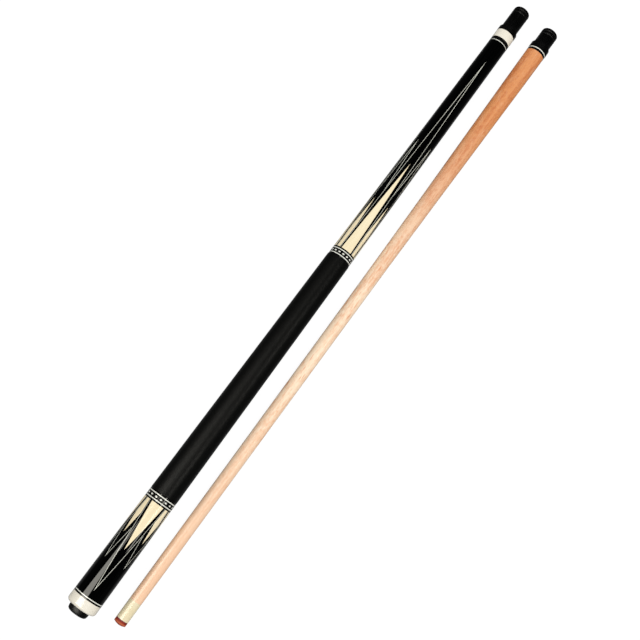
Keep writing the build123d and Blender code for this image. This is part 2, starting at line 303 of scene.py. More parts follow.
def silverVeneer(name, stick):
    look = silverVeneerLook
    material, tree, shader = newMaterial(name, 0.35, Coat_Weight=1.0, Coat_Roughness=0.03)
    fibres = stickNoise(tree, stick, look["fibres"])
    setColour(tree, shader, ramp(tree, fibres, [(0.3, look["dull"]), (0.65, look["bright"])]))
    setRoughness(tree, shader, fibres, wideSpread, look["roughness"])
    return material


silverRingLook = {
    "bright": (0.94, 0.94, 0.84),
    "dull": (0.80, 0.80, 0.71),
    "metal": 0.15,
    "linesPerMetre": 9000,
    "roughness": (0.2, 0.36),
}


def silverRing(name, stick):
    look = silverRingLook
    material, tree, shader = newMaterial(
        name, 0.25, Metallic=look["metal"], Coat_Weight=0.6, Coat_Roughness=0.05
    )
    lines = latheLines(tree, stick, look["linesPerMetre"])
    setColour(tree, shader, ramp(tree, lines, [(0.3, look["dull"]), (0.7, look["bright"])]))
    setRoughness(tree, shader, lines, wideSpread, look["roughness"])
    return material


blackRingLook = {"dark": 0.0012, "pale": 0.003, "linesPerMetre": 5000, "roughness": (0.16, 0.28)}


def blackRing(name, stick):
    look = blackRingLook
    material, tree, shader = newMaterial(
        name, 0.2, Coat_Weight=1.0, Coat_Roughness=0.03, Specular_IOR_Level=0.2
    )
    lines = latheLines(tree, stick, look["linesPerMetre"])
    setColour(tree, shader, ramp(tree, lines, [(0.3, look["dark"]), (0.7, look["pale"])]))
    setRoughness(tree, shader, lines, wideSpread, look["roughness"])
    return material


whiteCollarLook = {
    "body": (0.86, 0.81, 0.69),
    "cloud": (0.82, 0.765, 0.64),
    "clouds": (35, 35, 35),
    "linesPerMetre": 4000,
    "roughness": (0.2, 0.32),
}


def whiteCollar(name, stick):
    look = whiteCollarLook
    material, tree, shader = newMaterial(name, 0.25, Coat_Weight=0.8, Coat_Roughness=0.04)
    clouds = stickNoise(tree, stick, look["clouds"], 2.0)
    setColour(tree, shader, ramp(tree, clouds, [(0.35, look["cloud"]), (0.6, look["body"])]))
    lines = latheLines(tree, stick, look["linesPerMetre"])
    setRoughness(tree, shader, lines, wideSpread, look["roughness"])
    return material


leatherLook = {
    "valley": (0.0010, 0.0011, 0.0010),
    "crest": (0.0036, 0.0040, 0.0034),
    "grainPerMetre": 1300,
    "grainHeight": 0.05 * mm,
    "creasesPerMetre": 400,
    "rubbed": (60, 60, 12),
    "roughness": (0.44, 0.34),  # unrubbed and rubbed
}


def wrapLeather(name, stick):
    look = leatherLook
    material, tree, shader = newMaterial(name, 0.5, Specular_IOR_Level=0.22)
    point = stickPoint(tree, stick)
    values = {"Vector": point, "Scale": look["grainPerMetre"], "Randomness": 1.0}
    cells = addNode(tree, "TexVoronoi", values, feature="DISTANCE_TO_EDGE").outputs["Distance"]
    pebbles = mapRange(tree, cells, 0.0, 0.35, how="SMOOTHSTEP")
    creases = noise(tree, point, look["creasesPerMetre"], 4.0, 0.6)
    height = calculate(tree, "MULTIPLY", pebbles, creases)
    rubbed = stickNoise(tree, stick, look["rubbed"])
    colour = ramp(tree, height, [(0.1, look["valley"]), (0.6, look["crest"])])
    worn = mapRange(tree, rubbed, 0.4, 0.75, 0.0, 0.5)
    setColour(tree, shader, blendColours(tree, worn, colour, look["crest"]))
    setRoughness(tree, shader, rubbed, narrowSpread, look["roughness"])
    bump(tree, shader, height, 0.6, look["grainHeight"])
    return material


bumperLook = {
    "clean": 0.0018,
    "dusty": 0.007,
    "dustPerMetre": 220,
    "specksPerMetre": 2500,
    "speckHeight": 0.03 * mm,
    "roughness": (0.28, 0.45),
}


def bumperRubber(name, stick):
    look = bumperLook
    material, tree, shader = newMaterial(name, 0.4, Specular_IOR_Level=0.35)
    specks = noise(tree, stickPoint(tree, stick), look["specksPerMetre"])
    dust = noise(tree, stickPoint(tree, stick), look["dustPerMetre"], 4.0, 0.65)
    setColour(tree, shader, ramp(tree, dust, [(0.45, look["clean"]), (0.8, look["dusty"])]))
    setRoughness(tree, shader, dust, narrowSpread, look["roughness"])
    bump(tree, shader, specks, 0.3, look["speckHeight"])
    return material


mapleLook = {
    "pale": (0.965, 0.745, 0.53),
    "rosy": (0.86, 0.48, 0.275),
    "amberPale": (0.76, 0.305, 0.105),
    "amberDeep": (0.62, 0.19, 0.054),
    "rear": (0.90, 0.56, 0.35),
    "fleck": (0.76, 0.29, 0.12),
    "blotch": (0.30, 0.22, 0.16),
    "amberFrom": -0.33,  # distance from the joint face where the colour starts to deepen
    "amberFull": -0.06,
    "rearFrom": -0.46,  # where it starts to turn warmer towards the tip
    "rearFull": -0.62,
    "rippleReach": 0.05,  # how far these borders wander
    "fibreHeight": 0.02 * mm,
    "roughness": (0.3, 0.42),
}
mapleGrain = {
    "ripple": (30, 30, 9),
    "clouds": (130, 130, 11),
    "fibres": (1600, 1600, 22),
    "mottle": (430, 430, 190),
    "blotches": (110, 110, 60),
    "dashes": (420, 420, 90),
    "patches": (55, 55, 16),
}


# fine grain, clouds, short flecks, and a colour that deepens towards the joint
def mapleWood(name, stick):
    look = mapleLook
    grain = mapleGrain
    material, tree, shader = newMaterial(name, 0.35, Coat_Weight=0.5, Coat_Roughness=0.12)
    along = addNode(tree, "SeparateXYZ", {0: stickPoint(tree, stick)}).outputs["Z"]
    ripple = stickNoise(tree, stick, grain["ripple"], 2.0)
    rippled = calculate(tree, "MULTIPLY_ADD", ripple, look["rippleReach"], along)
    clouds = stickNoise(tree, stick, grain["clouds"], 3.0, 0.55, 0.5)
    fibres = stickNoise(tree, stick, grain["fibres"], 3.0, 0.6)
    streaked = calculate(tree, "MULTIPLY_ADD", fibres, 0.45, clouds)
    mottle = stickNoise(tree, stick, grain["mottle"], 2.0, 0.6)
    tone = mapRange(tree, calculate(tree, "MULTIPLY_ADD", mottle, 0.6, streaked), 0.82, 1.22)

    light = ramp(tree, tone, [(0.0, look["rosy"]), (0.7, look["pale"])])
    rearward = mapRange(tree, rippled, look["rearFull"], look["rearFrom"], 0.9, 0.0, "SMOOTHSTEP")
    light = blendColours(tree, rearward, light, look["rear"])
    dark = ramp(tree, tone, [(0.0, look["amberDeep"]), (0.7, look["amberPale"])])
    depth = mapRange(tree, rippled, look["amberFrom"], look["amberFull"], how="SMOOTHSTEP")
    body = blendColours(tree, depth, light, dark)

    blotches = stickNoise(tree, stick, grain["blotches"], 3.0, 0.6, 0.6)
    lift = mapRange(tree, blotches, 0.52, 0.7, 0.0, 0.5)
    figured = blendColours(tree, lift, body, look["blotch"], "SCREEN")
    dashes = mapRange(tree, stickNoise(tree, stick, grain["dashes"], 1.0), 0.60, 0.72)
    patches = mapRange(tree, stickNoise(tree, stick, grain["patches"], 2.0), 0.45, 0.62)
    flecks = mapRange(tree, calculate(tree, "MULTIPLY", dashes, patches), 0.0, 1.0, 0.0, 0.7)
    setColour(tree, shader, blendColours(tree, flecks, figured, look["fleck"]))
    setRoughness(tree, shader, fibres, narrowSpread, look["roughness"])
    bump(tree, shader, fibres, 0.04, look["fibreHeight"])
    return material


coreLook = {
    "dark": (0.50, 0.32, 0.18),
    "pale": (0.72, 0.52, 0.33),
    "fibres": (900, 900, 20),
    "fibreHeight": 0.05 * mm,
}


def coreWood(name, stick):
    look = coreLook
    material, tree, shader = newMaterial(name, 0.6)
    fibres = stickNoise(tree, stick, look["fibres"], 4.0)
    setColour(tree, shader, ramp(tree, fibres, [(0.3, look["dark"]), (0.7, look["pale"])]))
    bump(tree, shader, fibres, 0.2, look["fibreHeight"])
    return material


tipLook = {
    "red": (0.26, 0.018, 0.006),
    "tan": (0.50, 0.115, 0.045),
    "highlightBand": (0.2, 1.6),  # the painted highlight's full and faded reach from the middle, in quarters of the tip's height
    "layers": (20, 20, 1800),
    "layerHeight": 0.05 * mm,
    "fuzzPerMetre": 1800,
    "roughness": (0.5, 0.72),
}


# pressed layers across the tip, with paler streaks in them; a painted highlight shows these streaks only
# round the tip's middle
def tipLeather(name, stick):
    look = tipLook
    material, tree, shader = newMaterial(name, 0.6, Specular_IOR_Level=0.2)
    size = measure("tip")
    along = addNode(tree, "SeparateXYZ", {0: stickPoint(tree, stick)}).outputs["Z"]
    middle = (size["start"] + size["end"]) / 2
    quarter = (size["end"] - size["start"]) / 4
    away = calculate(tree, "ABSOLUTE", calculate(tree, "SUBTRACT", along, middle))
    highlightFrom, highlightTo = [share * quarter for share in look["highlightBand"]]
    # painted highlight: the tip is painted paler round the middle of its length, fading towards both ends
    band = mapRange(tree, away, highlightFrom, highlightTo, 1.0, 0.0, "SMOOTHSTEP")
    layers = stickNoise(tree, stick, look["layers"], 1.0)
    fuzz = noise(tree, stickPoint(tree, stick), look["fuzzPerMetre"])
    share = calculate(tree, "MULTIPLY_ADD", layers, 0.6, fuzz)
    paler = mapRange(tree, calculate(tree, "MULTIPLY", band, share), 0.1, 1.0)
    setColour(tree, shader, blendColours(tree, paler, look["red"], look["tan"]))
    setRoughness(tree, shader, fuzz, narrowSpread, look["roughness"])
    bump(tree, shader, share, 0.4, look["layerHeight"])
    return material


padLook = {"dark": (0.10, 0.008, 0.012), "red": (0.22, 0.02, 0.03), "fibres": (1500, 1500, 4000)}


def fibrePad(name, stick):
    look = padLook
    material, tree, shader = newMaterial(name, 0.5)
    fibres = stickNoise(tree, stick, look["fibres"])
    setColour(tree, shader, ramp(tree, fibres, [(0.3, look["dark"]), (0.7, look["red"])]))
    return material


ferruleLook = {
    "cream": (0.83, 0.73, 0.49),
    "shade": (0.78, 0.655, 0.40),
    "clouds": (220, 220, 60),
    "linesPerMetre": 6000,
    "roughness": (0.25, 0.4),
}


def ferruleResin(name, stick):
    look = ferruleLook
    material, tree, shader = newMaterial(name, 0.3, Coat_Weight=0.6, Coat_Roughness=0.06)
    clouds = stickNoise(tree, stick, look["clouds"])
    lines = latheLines(tree, stick, look["linesPerMetre"])
    mixed = calculate(tree, "MULTIPLY_ADD", lines, 0.15, clouds)
    setColour(tree, shader, ramp(tree, mixed, [(0.35, look["shade"]), (0.7, look["cream"])]))
    setRoughness(tree, shader, lines, wideSpread, look["roughness"])
    return material


protectorLook = {
    "black": 0.0008,
    "scuffed": 0.0026,
    "scuffs": (150, 150, 60),
    "linesPerMetre": 3500,
    "lineHeight": 0.01 * mm,
    "roughness": (0.18, 0.34),
}


def protectorPlastic(name, stick):
    look = protectorLook
    material, tree, shader = newMaterial(name, 0.3, Specular_IOR_Level=0.32)
    lines = latheLines(tree, stick, look["linesPerMetre"])
    scuffs = stickNoise(tree, stick, look["scuffs"], 5.0, 0.7)
    setColour(tree, shader, ramp(tree, scuffs, [(0.4, look["black"]), (0.75, look["scuffed"])]))
    setRoughness(tree, shader, scuffs, narrowSpread, look["roughness"])
    bump(tree, shader, lines, 0.15, look["lineHeight"])
    return material


gripLook = {"black": 0.002, "bloom": 0.006, "bloomPerMetre": 900, "roughness": (0.28, 0.45)}


def gripRubber(name, stick):
    look = gripLook
    material, tree, shader = newMaterial(name, 0.35, Specular_IOR_Level=0.5)
    bloom = noise(tree, stickPoint(tree, stick), look["bloomPerMetre"])
    setColour(tree, shader, ramp(tree, bloom, [(0.4, look["black"]), (0.75, look["bloom"])]))
    setRoughness(tree, shader, bloom, narrowSpread, look["roughness"])
    return material


metalLooks = {
    "brass": {"dull": (0.58, 0.40, 0.17), "bright": (0.80, 0.60, 0.29), "roughness": (0.2, 0.4)},
    "zinc": {"dull": (0.42, 0.42, 0.44), "bright": (0.62, 0.62, 0.63), "roughness": (0.3, 0.5)},
    "pin": {"dull": (0.55, 0.55, 0.55), "bright": (0.78, 0.78, 0.77), "roughness": (0.15, 0.3)},
    "tarnish": (200, 200, 120),
    "linesPerMetre": 7000,
}


def turnedMetal(name, stick, look):
    material, tree, shader = newMaterial(name, 0.3, Metallic=1.0)
    lines = latheLines(tree, stick, metalLooks["linesPerMetre"])
    tarnish = stickNoise(tree, stick, metalLooks["tarnish"], 4.0)
    setColour(tree, shader, ramp(tree, tarnish, [(0.3, look["dull"]), (0.7, look["bright"])]))
    setRoughness(tree, shader, lines, wideSpread, look["roughness"])
    return material


def brassMetal(name, stick):
    return turnedMetal(name, stick, metalLooks["brass"])


def zincSteel(name, stick):
    return turnedMetal(name, stick, metalLooks["zinc"])


def pinSteel(name, stick):
    return turnedMetal(name, stick, metalLooks["pin"])


finishOfSlot = {
    "black_lacquer": blackLacquer,
    "black_veneer": blackLacquer,
    "ivory_inlay": ivoryInlay,
    "silver_veneer": silverVeneer,
    "core_wood": coreWood,
    "wrap_leather": wrapLeather,
    "steel": zincSteel,
    "pin_steel": pinSteel,
    "black_ring": blackRing,
    "silver_ring": silverRing,
    "white_collar": whiteCollar,
    "bumper_rubber": bumperRubber,
    "maple": mapleWood,
    "tip_leather": tipLeather,
    "fibre_pad": fibrePad,
    "ferrule_plastic": ferruleResin,
    "brass": brassMetal,
    "protector_plastic": protectorPlastic,
    "grip_rubber": gripRubber,
}
madeFinishes = {}


def finishFor(node):
    stick = stickOf(node)
    key = slotOfNode[node] + "_" + stick
    if key not in madeFinishes:
        madeFinishes[key] = finishOfSlot[slotOfNode[node]](key, stick)
    return madeFinishes[key]


for nodeName, nodeObject in nodes.items():
    nodeObject.data.materials.clear()
    nodeObject.data.materials.append(finishFor(nodeName))
print("finishes ready")


# making pieces: a finished mesh takes its stick's place, its body and the finish of its node's slot
def settle(piece, node):
    piece.data.transform(sticks[stickOf(node)])
    piece.data.materials.clear()
    piece.data.materials.append(finishFor(node))
    piece.visible_glossy = stickOf(node) == "butt"  # keeps the pale shaft out of the butt's gloss
    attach(piece, body_of(nodes[node])[0])
    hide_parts(node)


def applyStack(piece):
    bpy.context.view_layer.update()
    finished = bpy.data.meshes.new_from_object(
        piece.evaluated_get(bpy.context.evaluated_depsgraph_get())
    )
    piece.modifiers.clear()
    piece.data = finished
    finished.name = piece.name


def newPiece(name, mesh):
    piece = bpy.data.objects.new(name, mesh)
    bpy.context.scene.collection.objects.link(piece)
    return piece


turning = {"columns": 96, "edgeAngle": 32}  # steps round a piece, and the least corner that is eased


# outlines are (distance along the stick, radius) corners that run from the joint end down
def turnPiece(name, node, outlines, edge, closed=False, edgeRows=2):
    points = []
    lines = []
    for outline in outlines:
        first = len(points)
        points += [(radius, 0.0, along) for along, radius in outline]
        lines += [(index, index + 1) for index in range(first, len(points) - 1)]
        if closed:
            lines.append((len(points) - 1, first))
    mesh = bpy.data.meshes.new(name)
    mesh.from_pydata(points, lines, [])
    piece = newPiece(name, mesh)
    screw = piece.modifiers.new("turn", "SCREW")
    screw.axis = "Z"
    screw.steps = turning["columns"]
    screw.render_steps = turning["columns"]
    screw.use_merge_vertices = True
    screw.merge_threshold = weld
    screw.use_smooth_shade = True
    bevel = piece.modifiers.new("edges", "BEVEL")
    bevel.width = edge
    bevel.segments = edgeRows
    bevel.limit_method = "ANGLE"
    bevel.angle_limit = math.radians(turning["edgeAngle"])
    piece.modifiers.new("flats", "WEIGHTED_NORMAL")
    applyStack(piece)
    settle(piece, node)


# corners along a rounded edge, both ends included
def arc(centreAlong, centreRadius, size, fromAngle, toAngle, count=7):
    corners = []
    for index in range(count):
        angle = math.radians(fromAngle + (toAngle - fromAngle) * index / (count - 1))
        along = centreAlong + size * math.cos(angle)
        corners.append((along, centreRadius + size * math.sin(angle)))
    return corners


def ringOutline(start, end, startRadius, endRadius, bore):
    return [(end, bore), (end, endRadius), (start, startRadius), (start, bore)]


# a ring of one radius, where its node is
def turnRing(name, node, edge):
    size = measure(node)
    outline = ringOutline(size["start"], size["end"], size["radius"], size["radius"], size["bore"])
    turnPiece(name, node, [outline], edge, closed=True)


lowerStack = measure("lower_black_rings")
upperStack = measure("upper_black_rings")


# the butt's straight taper, through the outsides of the two ring stacks
def buttRadius(along):
    share = (along - lowerStack["start"]) / (upperStack["end"] - lowerStack["start"])
    return lowerStack["startRadius"] + (upperStack["endRadius"] - lowerStack["startRadius"]) * share


# butt cap, its rings and the bumper
capShape = {
    "round": 3.4 * mm,
    "tenonFrom": 3.0 * mm,  # from the cap's rear face to where its wide tenon bore starts
    "edge": 0.12 * mm,
    "ringEdge": 0.06 * mm,
}
cap = measure("butt_cap")
tenonBore = measure("cap_black_ring")["bore"]
capOutline = [(cap["end"], tenonBore), (cap["end"], cap["endRadius"])]
capOutline += arc(
    cap["start"] + capShape["round"], cap["radius"] - capShape["round"], capShape["round"], 90, 180
)
tenonFrom = cap["start"] + capShape["tenonFrom"]
capOutline += [(cap["start"], cap["bore"]), (tenonFrom, cap["bore"]), (tenonFrom, tenonBore)]
turnPiece("butt_cap_turned", "butt_cap", [capOutline], capShape["edge"], closed=True)

for ringNode in ("cap_black_ring", "cap_silver_ring", "joint_silver_ring", "joint_black_ring"):
    turnRing(ringNode + "_turned", ringNode, capShape["ringEdge"])

bumperShape = {
    "flat": 7.0 * mm,
    "side": 3.0 * mm,
    "rim": 10.5 * mm,
    "shoulder": (0.35 * mm, 0.62 * mm),  # behind the middle of the rounded part, and inside the rim
    "heel": (0.55 * mm, 1.75 * mm),  # in front of the flat, and inside the rim
    "stem": 6.3 * mm,
    "stemNose": (1.5 * mm, 0.8 * mm),
    "gap": 0.05 * mm,
    "dimple": 2.2 * mm,
    "dimpleDepth": 1.0 * mm,
    "dimpleSlope": 0.6 * mm,
    "edge": 0.25 * mm,
}


def makeBumper(shape):
    size = measure("bumper")
    back = cap["start"] - shape["gap"]
    sideEnd = cap["start"] - shape["side"]
    middle = 0.5 * (size["start"] + sideEnd)
    shoulderBack, shoulderIn = shape["shoulder"]
    heelFront, heelIn = shape["heel"]
    noseLength, noseIn = shape["stemNose"]
    dimpleTop = size["start"] + shape["dimpleDepth"]
    outline = [
        (size["end"], 0),
        (size["end"], shape["stem"] - noseIn),
        (size["end"] - noseLength, shape["stem"]),
        (back, shape["stem"]),
        (back, shape["rim"]),
        (sideEnd, shape["rim"]),
        (middle - shoulderBack, shape["rim"] - shoulderIn),
        (size["start"] + heelFront, shape["rim"] - heelIn),
        (size["start"], shape["flat"]),
        (size["start"], shape["dimple"]),
        (dimpleTop, shape["dimple"] - shape["dimpleSlope"]),
        (dimpleTop, 0),
    ]
    turnPiece("bumper_moulded", "bumper", [outline], shape["edge"], edgeRows=3)


makeBumper(bumperShape)
print("cap and bumper made")

# ring stacks beside the wrap, with their oval dots
stackShape = {
    "dots": 16,
    "dotSides": 24,
    "dotAlong": 0.82 * mm,
    "dotAround": 1.4 * mm,
    "dotProud": 0.04 * mm,
    "dotPillow": [(0.93, 0.35), (0.6, 0.85)],  # share of its width, at this share of its height
    "dotDepth": 0.8 * mm,
    "dotSharp": 50,  # degrees above which a dot's edge stays crisp
    "turned": 3.5,  # degrees from the top towards the shaft
    "edge": 0.06 * mm,
}


def makeStackRings(prefix, shape):
    stack = measure(prefix + "_black_rings")
    silver = measure(prefix + "_silver_rings")
    band = measure(prefix + "_dot_band")
    bore = stack["bore"]

    def taperRing(start, end):
        return ringOutline(start, end, buttRadius(start), buttRadius(end), bore)

    blacks = [taperRing(silver["end"], stack["end"]), taperRing(stack["start"], silver["start"])]
    silvers = [taperRing(band["end"], silver["end"]), taperRing(silver["start"], band["start"])]
    edge = shape["edge"]
    turnPiece(prefix + "_black_rings_turned", prefix + "_black_rings", blacks, edge, closed=True)
    turnPiece(prefix + "_silver_rings_turned", prefix + "_silver_rings", silvers, edge, closed=True)
    bandOutline = taperRing(band["start"], band["end"])
    turnPiece(prefix + "_dot_band_turned", prefix + "_dot_band", [bandOutline], edge, closed=True)


# one dot: a low oval pillow that follows the round of the band, with a foot inside it
def addDot(made, shape, middle, centreAngle):
    radius = buttRadius(middle)
    proud = shape["dotProud"]
    sides = shape["dotSides"]
    levels = [(1.0, -shape["dotDepth"]), (1.0, -proud)]
    levels += [(share, height * proud) for share, height in shape["dotPillow"]]
    rows = []
    for share, height in levels:
        row = []
        for index in range(sides):
            turn = 2 * math.pi * index / sides
            along = middle + share * shape["dotAlong"] * math.cos(turn)
            around = share * shape["dotAround"] * math.sin(turn)
            angle = centreAngle + around / radius
            reach = buttRadius(along) + height
            row.append(made.verts.new((reach * math.cos(angle), reach * math.sin(angle), along)))
        rows.append(row)
    for lower, upper in zip(rows, rows[1:]):
        for index in range(sides):
            after = (index + 1) % sides
            made.faces.new((lower[index], upper[index], upper[after], lower[after]))
    top = radius + proud
    centre = made.verts.new((top * math.cos(centreAngle), top * math.sin(centreAngle), middle))
    for index in range(sides):
        made.faces.new((rows[-1][index], centre, rows[-1][(index + 1) % sides]))
    made.faces.new(rows[0])


def makeDots(prefix, shape):
    band = measure(prefix + "_dot_band")
    middle = (band["start"] + band["end"]) / 2
    made = bmesh.new()
    for index in range(shape["dots"]):
        addDot(made, shape, middle, math.radians(shape["turned"] + 360 * index / shape["dots"]))
    bmesh.ops.recalc_face_normals(made, faces=made.faces)
    mesh = bpy.data.meshes.new(prefix + "_silver_dots_inlaid")
    made.to_mesh(mesh)
    made.free()
    mesh.shade_smooth()
    mesh.set_sharp_from_angle(angle=math.radians(shape["dotSharp"]))
    settle(newPiece(mesh.name, mesh), prefix + "_silver_dots")


for stackPrefix in ("lower", "upper"):
    makeStackRings(stackPrefix, stackShape)
    makeDots(stackPrefix, stackShape)
print("ring stacks made")

# leather wrap
wrapShape = {"edge": 0.45 * mm, "gap": 0.02 * mm}
wrap = measure("handle_wrap")
wrapOutline = ringOutline(
    wrap["start"] + wrapShape["gap"],
    wrap["end"] - wrapShape["gap"],
    wrap["startRadius"],
    wrap["endRadius"],
    wrap["bore"],
)
turnPiece("handle_wrap_leather", "handle_wrap", [wrapOutline], wrapShape["edge"], closed=True, edgeRows=3)
print("wrap made")

# inlaid points: square-cornered grooves cut into the taper, nested in each other
inlayShape = {
    "turned": 3.5,  # degrees from the top towards the shaft
    "points": 4,
    "step": 1.0 * mm,  # between rows along the stick
    "columnAngle": 3.0,  # widest face round the stick, in degrees
    "depth": 2.0 * mm,
    "closedAngle": 1e-6,  # a strip narrower than this, in radians, has ended
    "outerSkin": 0.95,  # how nearly a face must point away from the stick to be its outside
}
# each nested groove's reach along the stick, in millimetres, and its half angle at the base:
# outer black, silver, inner black and ivory; the short points have no outer black
forearmPoints = {
    "long": [(266.0, 37.0), (261.0, 35.1), (246.0, 33.2), (116.5, 26.0)],
    "short": [(145.5, 34.4), (136.0, 32.9), (65.5, 18.6)],
}
sleevePoints = {
    "long": [(-99.5, 38.3), (-97.2, 36.3), (-93.2, 34.6), (-51.5, 26.3)],
    "short": [(-66.5, 34.5), (-63.6, 32.9), (-38.5, 19.4)],
}


# half the angle that a groove opens where it meets the surface, at each distance
def grooveOpening(along, base, groove):
    reach = groove[0] * mm
    half = math.radians(groove[1])
    bottom = buttRadius(base) * (math.cos(half) - math.sin(half))
    depth = bottom + (buttRadius(base + reach) - bottom) * (along - base) / reach
    slant = np.clip(depth / (math.sqrt(2) * buttRadius(along)), -1.0, 1.0)
    return np.maximum(np.arccos(slant) - math.pi / 4, 0.0)


# one side of one region, between two border angles, as rows of quads
def addStrip(made, along, inner, outer, centre, side, shape):
    width = outer - inner
    count = max(1, math.ceil(np.max(width) / math.radians(shape["columnAngle"])))
    radius = buttRadius(along)
    rows = []
    for index, distance in enumerate(along):
        row = []
        for column in range(count + 1):
            border = inner[index] + width[index] * column / count
            angle = centre + side * border
            x = radius[index] * math.cos(angle)
            y = radius[index] * math.sin(angle)
            row.append(made.verts.new((x, y, distance)))
        rows.append(row)
    for index, (near, far) in enumerate(zip(rows, rows[1:])):
        if max(width[index], width[index + 1]) < shape["closedAngle"]:
            continue
        for column in range(count):
            corners = [near[column], near[column + 1], far[column + 1], far[column]]
            made.faces.new(corners if side > 0 else corners[::-1])


# normals of the outer skin point straight away from the taper, so gloss runs over the borders
def smoothSkin(mesh, slope, shape):
    corners = np.zeros(len(mesh.loops), np.int32)
    mesh.loops.foreach_get("vertex_index", corners)
    points = np.zeros(len(mesh.vertices) * 3, np.float32)
    mesh.vertices.foreach_get("co", points)
    points = points.reshape(-1, 3)[corners]
    totals = np.zeros(len(mesh.polygons), np.int32)
    mesh.polygons.foreach_get("loop_total", totals)
    flat = np.zeros(len(mesh.polygons) * 3, np.float32)
    mesh.polygons.foreach_get("normal", flat)
    flat = np.repeat(flat.reshape(-1, 3), totals, axis=0)
    away = points.copy()
    away[:, 2] = -slope * np.hypot(points[:, 0], points[:, 1])
    away /= np.linalg.norm(away, axis=1)[:, None]
    outside = (flat * away).sum(axis=1) > shape["outerSkin"]
    normals = np.where(outside[:, None], away, flat)
    mesh.shade_smooth()
    mesh.normals_split_custom_set(normals.tolist())


# the long points are centred on a sector's first border and the short ones on its last
def makeInlaid(prefix, woodNode, span, base, grooves, shape):
    start, end = span
    count = math.ceil((end - start) / shape["step"])
    along = np.linspace(start, end, count + 1)
    edge, silver, inner, ivory = [grooveOpening(along, base, groove) for groove in grooves["long"]]
    sector = math.pi / shape["points"]
    lowSilver, lowInner, lowIvory = [
        np.maximum(edge, sector - grooveOpening(along, base, groove)) for groove in grooves["short"]
    ]
    zero = np.zeros_like(along)
    regions = {
        prefix + "_long_points": [(zero, ivory)],
        prefix + "_long_silver_veneers": [(inner, silver)],
        prefix + "_long_black_veneers": [(ivory, inner), (silver, edge)],
        woodNode: [(edge, lowSilver)],
        prefix + "_short_silver_veneers": [(lowSilver, lowInner)],
        prefix + "_short_black_veneers": [(lowInner, lowIvory)],
        prefix + "_short_points": [(lowIvory, zero + sector)],
    }
    slope = (buttRadius(end) - buttRadius(start)) / (end - start)
    for node, borders in regions.items():
        made = bmesh.new()
        for point in range(shape["points"]):
            centre = math.radians(shape["turned"]) + 2 * sector * point
            for side in (1, -1):
                for innerBorder, outerBorder in borders:
                    addStrip(made, along, innerBorder, outerBorder, centre, side, shape)
        bmesh.ops.remove_doubles(made, verts=made.verts, dist=weld)
        bmesh.ops.dissolve_degenerate(made, edges=made.edges, dist=weld)
        loose = [vertex for vertex in made.verts if not vertex.link_faces]
        bmesh.ops.delete(made, geom=loose, context="VERTS")
        mesh = bpy.data.meshes.new(node + "_inlaid")
        made.to_mesh(mesh)
        made.free()
        piece = newPiece(mesh.name, mesh)
        wall = piece.modifiers.new("depth", "SOLIDIFY")
        wall.thickness = shape["depth"]
        wall.offset = -1
        wall.use_rim = True
        applyStack(piece)
        smoothSkin(piece.data, slope, shape)
        settle(piece, node)


forearmSpan = (upperStack["end"], measure("joint_silver_ring")["start"])
sleeveSpan = (measure("cap_silver_ring")["end"], lowerStack["start"])
makeInlaid("forearm", "forearm", forearmSpan, upperStack["end"], forearmPoints, inlayShape)
makeInlaid("sleeve", "butt_sleeve", sleeveSpan, lowerStack["start"], sleevePoints, inlayShape)
print("inlays made")

# joint collar and threads
jointShape = {
    "collarEdge": 0.3 * mm,
    "pitch": 3.175 * mm,
    "flank": 1.25,  # above 1 leaves a flat on the thread's crest
    "rowsPerTurn": 8,
    "columns": 40,
    "sharp": 40,  # degrees above which an edge stays crisp
    "shallowest": 0.05,  # share of its depth that a thread has at its ends
    "pinDepth": 0.75 * mm,
    "lead": 1.5 * mm,  # plain length before a pin's thread
    "neck": 0.15 * mm,  # how far the plain length is under the thread's root
    "nose": 0.9 * mm,  # and how far the pin's end is
    "noseFade": 0.2 * mm,
    "rootFade": 2.0 * mm,
    "boreDepth": 0.6 * mm,
    "boreFlare": 0.6 * mm,
    "boreFade": 0.5 * mm,
    "mouth": 0.1 * mm,
}
turnRing("joint_collar_turned", "joint_collar", jointShape["collarEdge"])


# height of a right-hand thread between 0 in the groove and 1 on the crest
def threadHeight(along, angle, shape):
    place = (along / shape["pitch"] - angle / (2 * math.pi)) % 1.0
    return min(1.0, shape["flank"] * abs(2 * place - 1))


# rows of (distance, function of angle giving the radius) become one closed skin
def skinRows(name, rows, shape, loop):
    columns = shape["columns"]
    made = bmesh.new()
    rings = []
    for along, radiusAt in rows:
        ring = []
        for index in range(columns):
            angle = 2 * math.pi * index / columns
            radius = radiusAt(angle)
            ring.append(made.verts.new((radius * math.cos(angle), radius * math.sin(angle), along)))
        rings.append(ring)
    pairs = list(zip(rings, rings[1:]))
    if loop:
        pairs.append((rings[-1], rings[0]))
    for upper, lower in pairs:
        for index in range(columns):
            after = (index + 1) % columns
            made.faces.new((upper[index], lower[index], lower[after], upper[after]))
    if not loop:
        made.faces.new(rings[0])
        made.faces.new(rings[-1])
    bmesh.ops.recalc_face_normals(made, faces=made.faces)
    mesh = bpy.data.meshes.new(name)
    made.to_mesh(mesh)
    made.free()
    mesh.shade_smooth()
    mesh.set_sharp_from_angle(angle=math.radians(shape["sharp"]))
    return mesh


def plainRadius(radius):
    return lambda angle: radius


# rows of a thread that grows to its full depth over a fade at each end
def threadRows(start, end, crest, depth, shape, fadeStart, fadeEnd):
    step = shape["pitch"] / shape["rowsPerTurn"]
    count = math.ceil((end - start) / step)
    least = shape["shallowest"]
    rows = []
    for index in range(count + 1):
        along = end - (end - start) * index / count
        fade = min(1.0, (end - along) / fadeEnd + least, (along - start) / fadeStart + least)

        def radiusAt(angle, along=along, fade=fade):
            return crest - depth * (1 - threadHeight(along, angle, shape)) * fade

        rows.append((along, radiusAt))
    return rows


